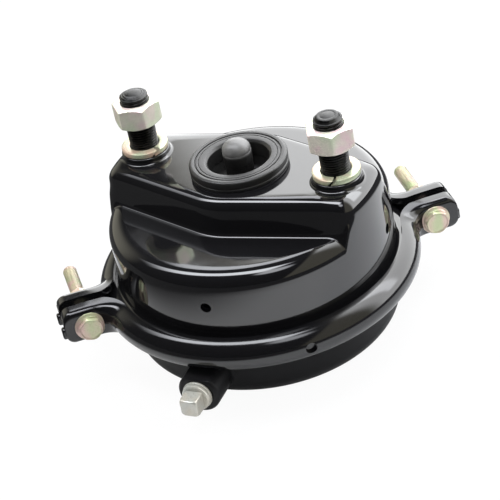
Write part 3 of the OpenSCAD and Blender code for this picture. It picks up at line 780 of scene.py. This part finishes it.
def makeSpringWasher(x, degrees):
    # rounded square section carried round, cut by a slanting slit, its ends level
    mid, half = (washer["inner"] + washer["outer"]) / 2, (washer["outer"] - washer["inner"]) / 2
    thick, near, rows = washer["thick"] / 2, washer["slantShare"], 140
    c, s = superArc(circle(40), washer["square"])
    slit = math.radians(washer["slit"])
    a = np.linspace(slit / 2, turnFull - slit / 2, rows)[:, None]
    share = np.linspace(0, 1, rows)[:, None]
    ends = np.where(share < 0.5, 1 - np.clip(share / near, 0, 1), np.clip((share - 1 + near) / near, 0, 1))
    turned = a + washer["slant"] * s[None] * ends + math.radians(degrees)
    grid = closeEnds(polar(mid + half * c[None], turned, washer["bottom"] + thick + thick * 0.93 * s[None]))
    return standing((grid, quadGrid(len(grid), grid.shape[1])), x)


for side, label, low in sides:
    x = side * stud["x"]
    addPiece("stud" + label, makeStud(x, side < 0), "housing", "stud_black", ["stud_" + low])
    addPiece("studNut" + label, makeNut(x, nut["turns"][label]), "nut_" + low, "nut_zinc", ["stud_nut_" + low])
    addPiece("springWasher" + label, makeSpringWasher(x, washer["turns"][label]), "washer_" + low,
             "washer_zinc", ["spring_washer_" + low])

bolt = {"radius": 4.0, "pitch": 1.25, "depth": 0.7, "tip": 48.6, "flange": 8.6, "across": 12.6, "head": 5.0}


def onBolt(part, side):
    # own z runs from the head's seat towards the tip, own x up
    a = math.radians(clamp["split"])
    u, v = np.array([math.cos(a), math.sin(a), 0]), np.array([-math.sin(a), math.cos(a), 0])
    up = np.array([0, 0, 1.0])
    return place(part, u * side * clamp["bolt"] + up * clamp["seam"], up, np.cross(v, up), v)


def makeBolt(side):
    # flange with a raised hexagon whose round top is dished inside a thin rim, and a threaded shank
    seat, h, wide, radius = -clamp["seat"], bolt["head"], bolt["flange"], bolt["radius"]
    outline = [(0.0, 0.0), (wide - 0.3, 0.0), (wide, -0.35), (wide - 0.1, -0.95), (7.6, -1.35), (7.0, -1.9),
               (6.95, -2.2), (7.2, -2.4), (7.2, -3.9), (6.9, -4.5), (6.6, -4.85), (6.3, -h), (6.0, -4.95),
               (5.75, -4.8), (5.5, -4.6), (5.2, -4.55), (0.0, -4.5)]
    head = hexHead(outline, 6, bolt["across"], 30, 0.3, lambda r, z: z < -2.2, seat)
    shank = threadSkin(radius, bolt["pitch"], bolt["depth"], -2.0, bolt["tip"], cols=36, taperTop=1.0)
    plain = turnedSkin([(0.0, seat), (radius, seat), (radius, -2.1)], 36)
    body = np.concatenate([plain, shank, turnedSkin([(0.0, bolt["tip"])], 36)])
    return onBolt(stackParts((head, quadGrid(len(head), 144)), (body, quadGrid(len(body), 36))), side)


def makeClampNut(side):
    # hexagon on a flange, both turned, with a plain bore
    wide = bolt["flange"]
    outline = [(3.6, 0.0), (wide - 0.3, 0.0), (wide, 0.4), (wide - 0.1, 0.9), (7.4, 1.5), (6.8, 2.0),
               (7.2, 2.4), (7.2, 6.6), (6.4, 7.8), (5.4, 8.0), (4.4, 8.0), (3.6, 7.2), (3.6, 0.0)]
    grid = hexHead(outline, 5, bolt["across"], 40, 0.7, lambda r, z: (z > 2.1) & (r > 5), clamp["seat"])
    return onBolt((grid, quadGrid(len(grid), 144)), side)


for side, label, low in sides:
    addPiece("clampBolt" + label, makeBolt(side), "housing", "bolt_zinc", ["clamp_bolt_" + low])
    addPiece("clampNut" + label, makeClampNut(side), "housing", "bolt_zinc", ["clamp_nut_" + low])
print("fasteners made")


# ---- seal and push rod ----

seal = {"inner": 17.2, "outer": 27.5, "plate": 101.5, "top": 107.5, "neck": 21.4}


def makeSeal():
    # turned ring: outer bead, fine groove, raised face with a second fine line, rounded inner lip
    i, o, b, t = seal["inner"], seal["outer"], seal["plate"], seal["top"]
    corners = [(i, b - 3.5, 0.2), (seal["neck"], b - 3.5, 0.2), (seal["neck"], b, 0.1), (o - 0.1, b, 0.3),
               (o - 0.1, b + 1.2, 0.3), (o - 1.0, b + 1.7, 0.3), (o - 0.1, b + 2.2, 0.4), (o, t - 0.5, 1.2),
               (o - 1.6, t, 0.9), (24.35, t, 0.25), (24.2, t - 0.8, 0.12), (23.7, t - 0.8, 0.12),
               (23.5, t - 0.1, 0.25), (22.25, t - 0.1, 0.15), (22.1, t - 0.45, 0.06),
               (21.95, t - 0.45, 0.06), (21.8, t - 0.1, 0.15),
               (18.6, t - 0.15, 1.0), (i, t - 1.6, 1.0)]
    return revolve(roundedPath(corners, 5), 224)


addPiece("faceSeal", makeSeal(), "housing", "seal_rubber", ["face_seal"], sharp=50)

rod = {"radius": 8.0, "tip": 117.6, "shoulder": 112.1, "pinLow": 104.1, "shank": 7.8, "foot": 11.1, "hub": 16.0}


def makeRod():
    # turned rod with a domed tip and a stepped foot
    r, s, low, steps = rod["radius"], rod["shank"], rod["foot"], 5
    dome = spread(4, 90, 14)
    rise = (rod["tip"] - rod["shoulder"]) * np.sin(dome)
    tip = np.stack([r * np.cos(dome) ** 0.8, rod["shoulder"] + rise], 1)
    corners = [(rod["hub"], low, 0.3), (rod["hub"], low + 2, 0.6), (s, low + 2, 1.5),
               (s, rod["pinLow"] - 0.3, 0.1), (r, rod["pinLow"], 0.1), (r, rod["shoulder"] - 0.5, 0.1)]
    # one corner on the axis closes the outline for the rounding, and its points are then left out
    keep = roundedPath(corners + [(0.5, 90, 0.1)], steps)[:len(corners) * (steps + 1)]
    return revolve(np.concatenate([[[0, low]], keep, tip, [[0, rod["tip"]]]]), 96, closed=False)


addPiece("pushRod", makeRod(), "rod", "rod_steel", ["push_rod"])
print("seal and rod made")


# ---- pressure housing and its ports ----

bowl = {"radius": 77.0, "edge": 11.0, "sheet": 3.5, "rim": 34.75, "bend": 2.0, "tip": 5.2,
        "portTurn": 275.5, "portZ": 17.3, "hole": 6.39, "holeReach": 75.0, "holeLength": 12.0}


def makeBowl():
    # turned sheet cup: flat bottom, round edge, upright wall and a rolled rim
    r, edge, t, rim, bend = bowl["radius"], bowl["edge"], bowl["sheet"], bowl["rim"], bowl["bend"]
    down = spread(-90, 0, 14)
    outer = arc(r - edge, edge, edge, down)
    inner = arc(r - edge, edge, edge - t, down)
    fillet = arc(r + bend, rim - t - bend, bend, spread(180, 90, 7))
    # the lower end falls a hair past the circle, so its sine is held at -1
    low, high = (math.asin(max(-1.0, (z - drum["seam"]) / bowl["tip"])) for z in (rim - t, rim))
    tip = arc(drum["beadCentre"], drum["seam"], bowl["tip"], np.linspace(low, high, 9))
    lip = [[r - t + 0.4, rim], [r - t, rim - 0.4]]
    profile = np.concatenate([[[0, 0]], outer, fillet, tip, lip, inner[::-1], [[0, t]]])
    return revolve(profile, 256, closed=False)


lower = addPiece("pressureHousing", makeBowl(), "housing", "lower_enamel", ["pressure_housing"])
cutHoles(lower, [radialHole(bowl["portTurn"] + more, bowl["holeReach"], bowl["portZ"], bowl["hole"],
                            bowl["holeLength"]) for more in (0, 180)])

boss = {"radius": 12.0, "end": 96.0, "round": 2.0, "flat": 26.5, "bore": 5.19, "pitch": 1.5, "depth": 0.55,
        "weld": 2.4, "inner": 77.4}


def makeBoss(degrees, threaded):
    # round boss with a flat top, a small weld bead at its root and a threaded bore with a chamfered mouth
    cols = 96
    a = circle(cols)[None]
    rows = []

    def ring(radius, x, onWall=False):
        # one row, at a distance out from the axis or from the housing's wall
        up = np.minimum(radius * np.cos(a), boss["flat"] - bowl["portZ"])
        across = radius * np.sin(a)
        start = np.sqrt(bowl["radius"] ** 2 - across ** 2) if onWall else 0
        rows.append(np.stack([up, across, start + x + 0 * up], -1)[0])

    r, end, soft, weld, bore = boss["radius"], boss["end"], boss["round"], boss["weld"], boss["bore"]
    ring(r, -0.4, True)
    ring(r + 0.1 * weld, 0.0, True)
    for q in spread(0, 90, 7):
        wide = r + 0.35 * weld * (1 - math.sin(q)) * (1 + 0.5 * math.cos(q))
        ring(wide, weld * 0.8 * (1 - math.cos(q)) + 0.02, True)
    for q in spread(0, 90, 8):
        ring(r - soft + soft * math.cos(q), end - soft + soft * math.sin(q))
    ring(bore + 1.0, end)
    ring(bore + 0.75, end - 0.1)
    ring(bore, end - 0.8)
    if threaded:
        skin = threadSkin(bore + boss["depth"], boss["pitch"], boss["depth"], boss["inner"],
                          end - 0.85, cols=cols)
        rows.extend(np.flip(skin, 0))
    else:
        ring(bore, boss["inner"])
    ring(bore, -0.4, True)
    grid = np.stack(rows)
    grid = np.concatenate([grid, grid[:1]])
    return onPort((grid, quadGrid(len(grid), cols)), degrees)


def onPort(part, degrees):
    return place(part, (0, 0, bowl["portZ"]), *radialFrame(degrees))


addPiece("portBossFront", makeBoss(bowl["portTurn"], False), "housing", "lower_enamel", ["port_boss_front"])
addPiece("portBossRear", makeBoss(bowl["portTurn"] + 180, True), "housing", "lower_enamel",
         ["port_boss_rear"])

plug = {"seat": 97.5, "flange": 8.0, "flangeTall": 2.5, "square": 10.0, "end": 108.8, "thread": 5.1,
        "low": 84.5}


def squareSkin(profile, side):
    # rounded square section by a power mean of the two axes, kept inside a turned outline
    p, cols, power = np.asarray(profile, float), 144, 22
    a = circle(cols) + 0.01
    flat = side / 2 / (np.abs(np.cos(a)) ** power + np.abs(np.sin(a)) ** power) ** (1 / power)
    return polar(np.minimum(p[:, :1], flat[None]), a, p[:, 1:]), quadGrid(len(p), cols)


def makePlug():
    # square head with eased ends on a round flange, and a plain shank in the boss
    seat, flange, tall, thread, low = (plug[key] for key in ("seat", "flange", "flangeTall", "thread", "low"))
    turned = revolve([(0, low), (thread - 0.8, low), (thread, low + 0.8), (thread, seat),
                      (flange - 0.3, seat), (flange, seat + 0.3), (flange, seat + 1.0),
                      (flange - 0.25, seat + 1.2), (flange, seat + 1.4), (flange - 0.1, seat + tall - 0.6),
                      (flange - 0.8, seat + tall), (0, seat + tall)], 96, closed=False)
    end, half = plug["end"], plug["square"] / 2
    corner = half * math.sqrt(2)
    nose = [(corner - 0.6 - 1.2 * (1 - math.cos(t)), end - 1.1 + 1.1 * math.sin(t)) for t in spread(0, 90, 7)]
    outline = [(0, seat + 1.5), (flange, seat + 1.5), (flange, seat + tall), (corner, end - 2.2)]
    outline += nose + [(half - 0.7, end + 0.02), (0, end + 0.02)]
    head, quads = squareSkin(outline, plug["square"])
    soft = np.clip(head[..., 2] - (end - 1.0), 0, 1)
    head[..., :2] *= (1 - 0.07 * soft ** 2)[..., None]
    return onPort(stackParts(turned, (head, quads)), bowl["portTurn"])


def makePlugWasher():
    # flat ring with rounded corners between the boss and the plug's flange
    inner, outer, low, high = boss["bore"] + 0.5, plug["flange"] + 0.4, boss["end"], plug["seat"]
    corners = [(inner, low, 0.2), (outer, low, 0.3), (outer, high, 0.3), (inner, high, 0.2)]
    return onPort(revolve(roundedPath(corners, 4), 96), bowl["portTurn"])


addPiece("portPlug", makePlug(), "housing", "plug_zinc", ["port_plug"])
addPiece("plugWasher", makePlugWasher(), "housing", "plug_zinc", ["plug_washer"])
print("pressure housing made")


# ---- boot, spring and diaphragm ----

boot = {"top": 98.0, "rim": 30.0, "outer": 19.6, "inner": 14.0, "wall": 1.2, "low": 19.1, "neck": 91.0,
        "collar": 7.85, "folds": 7}


def makeBoot():
    # bellows: the radius swings between fold and crest as a cosine of the height
    t, top, low, neck = boot["wall"], boot["top"], boot["low"], boot["neck"]
    z = np.linspace(neck, low + t, boot["folds"] * 14 + 1)
    wave = (1 + np.cos((neck - z) / (neck - low - t) * boot["folds"] * turnFull)) / 2
    outerR = boot["inner"] + (boot["outer"] - boot["inner"]) * wave ** 0.8
    outer = np.stack([outerR, z], 1)
    inner = np.stack([outerR - t, z], 1)[::-1]
    rim = [[boot["rim"], top], [boot["rim"], top - t], [boot["outer"], top - t]]
    foot = [[boot["outer"] - 0.6, low], [boot["collar"], low], [boot["collar"], low + t]]
    return revolve(np.concatenate([rim, outer, foot, inner, [[boot["outer"] - t, top]]]), 96)


coil = {"turns": 4.2, "steps": 40, "sides": 14, "wire": 2.25, "lowR": 40.0, "highR": 30.0, "low": 11.1,
        "high": 94.8, "levelTurns": 0.7, "levelRise": 0.02, "ground": 0.4}


def makeSpring():
    # wire carried along a tapering helix whose two end turns lie level and are ground flat
    u = np.linspace(0, 1, int(coil["turns"] * coil["steps"]) + 1)
    angle = u * coil["turns"] * turnFull
    share, level, sink = coil["levelTurns"] / coil["turns"], coil["levelRise"], coil["wire"] - coil["ground"]
    climb = level + (1 - 2 * level) * (u - share) / (1 - 2 * share)
    rise = np.where(u < share, level * u / share, np.where(u > 1 - share, 1 - level * (1 - u) / share, climb))
    low, high = coil["low"] + sink, coil["high"] - sink
    radius = coil["lowR"] + (coil["highR"] - coil["lowR"]) * u
    height = low + (high - low) * rise
    b = circle(coil["sides"])
    z = np.clip(height[:, None] + coil["wire"] * np.sin(b), coil["low"], coil["high"])
    grid = closeEnds(polar(radius[:, None] + coil["wire"] * np.cos(b), angle[:, None], z))
    return grid, quadGrid(len(grid), coil["sides"])


cup = {"wall": 73.2, "thick": 3.0, "low": 3.8, "edge": 7.2, "half": 1.7, "bead": 5.1}


def makeDiaphragm():
    # turned rubber cup that lies along the lower housing, with a bead held between the two rims
    r, t, low, edge, seam = cup["wall"], cup["thick"], cup["low"], cup["edge"], drum["seam"]
    down = spread(-90, 0, 12)
    outer = arc(r - edge, low + edge, edge, down)
    inner = arc(r - edge, low + edge, edge - t, down)
    lip = math.asin(cup["half"] / cup["bead"])
    tip = arc(drum["beadCentre"], seam, cup["bead"], np.linspace(-lip, lip, 9))
    under = [[r, seam - cup["half"] - 1.0], [r + 0.6, seam - cup["half"]]]
    over = [[r - t + 1.5, seam + cup["half"]], [r - t, seam + cup["half"] - 1.5]]
    profile = np.concatenate([[[0, low]], outer, under, tip, over, inner[::-1], [[0, low + t]]])
    return revolve(profile, 192, closed=False)


bellows = addPiece("boot", makeBoot(), "housing", "boot_rubber", ["boot"])
spring = addPiece("returnSpring", makeSpring(), "housing", "spring_steel", ["return_spring"])
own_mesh(bellows)
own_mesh(spring)
rolling = addPiece("diaphragm", makeDiaphragm(), None, "diaphragm_rubber", ["diaphragm"])
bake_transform(rolling)
print("boot, spring and diaphragm made")


# ---- camera, light and floor ----

cameraPlace = {"place": (0.4918, -0.7171, 0.6211), "right": (0.8690, 0.4645, -0.1705),
               "up": (-0.1395, 0.5605, 0.8163), "back": (0.4747, -0.6856, 0.5519), "lens": 132.9}


def makeCamera():
    data = bpy.data.cameras.new("camera")
    data.lens, data.sensor_width = cameraPlace["lens"], 36.0
    camera = newObject("camera", data)
    columns = [cameraPlace["right"], cameraPlace["up"], cameraPlace["back"], cameraPlace["place"]]
    rows = [[column[i] for column in columns] for i in range(3)] + [[0, 0, 0, 1]]
    location, rotation, _ = Matrix(rows).decompose()
    camera.location, camera.rotation_euler = location, rotation.to_euler()
    bpy.context.scene.camera = camera


# place, width and height, watts, colour
lamps = {
    "overhead": ((0.25, 0.9, 1.5), (0.9, 0.5), 18.0, (0.97, 0.98, 1.0)),
    "left": ((-1.5, -0.3, 0.9), (0.4, 0.9), 44.0, (1.0, 0.97, 0.90)),
    "right": ((1.5, 0.35, 1.5), (0.9, 0.6), 9.0, (0.97, 0.98, 1.0)),
    "front": ((0.8, -1.5, 1.5), (0.7, 0.3), 34.0, (1.0, 1.0, 1.0)),
}
lampAim = Vector((0, 0, 0.05))


def makeLamps():
    for name, (spot, (wide, high), watts, color) in lamps.items():
        data = bpy.data.lights.new(name, "AREA")
        data.shape, data.size, data.size_y = "RECTANGLE", wide, high
        data.energy, data.color = watts, color
        lamp = newObject(name, data)
        lamp.visible_glossy = False
        lamp.location = spot
        lamp.rotation_euler = (lampAim - Vector(spot)).to_track_quat("-Z", "Y").to_euler()


table = {"centre": (0.045, 0.01, 0.0), "radius": 0.185, "soft": 0.03, "pale": 0.45, "dark": 0.03,
         "glow": 0.94, "wide": 6.0}


def makeFloor():
    # white to the camera; to every other ray a small pale table in a dim room, fading at the table's edge
    s = Shade("floorWhite")
    seen = s.node("ShaderNodeLightPath", out="Is Camera Ray")
    away = s.node("ShaderNodeVectorMath", {"operation": "DISTANCE"}, {0: s.coords, 1: table["centre"]},
                  out="Value")
    disc = away.ramp(table["radius"] - table["soft"], table["radius"] + table["soft"],
                     table["pale"], table["dark"])
    tone = disc.maths("MAXIMUM", seen * table["pale"])
    both = s.node("ShaderNodeCombineColor", inputs={"Red": tone * 0.97, "Green": tone * 0.98, "Blue": tone})
    pale = s.node("ShaderNodeBsdfDiffuse", inputs={"Color": both})
    glow = s.node("ShaderNodeEmission", inputs={"Color": grey(1.0), "Strength": 1.0})
    mixed = s.node("ShaderNodeMixShader", inputs={0: seen * table["glow"], 1: pale, 2: glow})
    wide = table["wide"]
    mesh = bpy.data.meshes.new("floor")
    mesh.from_pydata([(-wide, -wide, 0), (wide, -wide, 0), (wide, wide, 0), (-wide, wide, 0)], [],
                     [(0, 1, 2, 3)])
    mesh.materials.append(s.output(mixed))
    floor = newObject("floor", mesh)


# Each board is bright where the view direction lies past all its edges: (direction, dark from,
# bright to).
# In turn: one low behind on the right and its warm fringe, a small one in front on the right, a warm
# one on the left, and two long strips overhead.
coolWhite, rightBack = (0.93, 0.95, 1.0), (0.610, 0.716, -0.339)
boards = [
    {"edges": [(rightBack, -0.006, 0.05), ((0, 1, 0), 0.15, 0.40)], "bright": 4.5, "color": (0.95, 0.965, 1.0)},
    {"edges": [(rightBack, -0.035, 0.02)], "bright": 0.6, "color": (1.0, 0.95, 0.74)},
    {"edges": [((0.315, -0.255, 0.913), 0.975, 0.994)], "bright": 5.0, "color": coolWhite},
    {"edges": [((-0.88, 0.30, 0.20), 0.78, 0.96)], "bright": 0.9, "color": (1.0, 0.96, 0.78)},
    {"edges": [((0, 1, 0), 0.50, 0.54), ((0, -1, 0), -0.662, -0.656), ((1, 0, 0), -0.53, -0.50),
               ((0, 0, 1), 0.3, 0.5)], "bright": 5.0, "color": coolWhite},
    {"edges": [((0, 1, 0), -0.22, -0.16), ((0, -1, 0), -0.14, -0.08), ((1, 0, 0), -0.80, -0.42),
               ((0, 0, 1), 0.3, 0.5), ((-1, 0, 0), -0.25, -0.08)], "bright": 11.0, "color": coolWhite},
]
roomGlow = 0.025


def makeWorld():
    # dim room plus every board: its colour times its brightness times the smooth steps of its edges
    world = bpy.data.worlds.new("studio")
    world.use_nodes = True
    w = Nodes(world.node_tree, "Generated")
    total = (roomGlow,) * 3
    for board in boards:
        shine = board["bright"]
        for direction, dark, lit in board["edges"]:
            toward = w.node("ShaderNodeVectorMath", {"operation": "DOT_PRODUCT"},
                            {0: w.coords, 1: direction}, out="Value")
            shine = toward.ramp(dark, lit) * shine
        total = w.node("ShaderNodeVectorMath", {"operation": "MULTIPLY_ADD"},
                       {0: board["color"], 1: shine, 2: total})
    back = w.tree.nodes["Background"]
    w.tree.links.new(total.socket, back.inputs["Color"])
    back.inputs["Strength"].default_value = 1.0
    bpy.context.scene.world = world


makeCamera()
makeLamps()
makeFloor()
makeWorld()
bpy.context.scene.view_settings.view_transform = "Standard"
print("studio made")
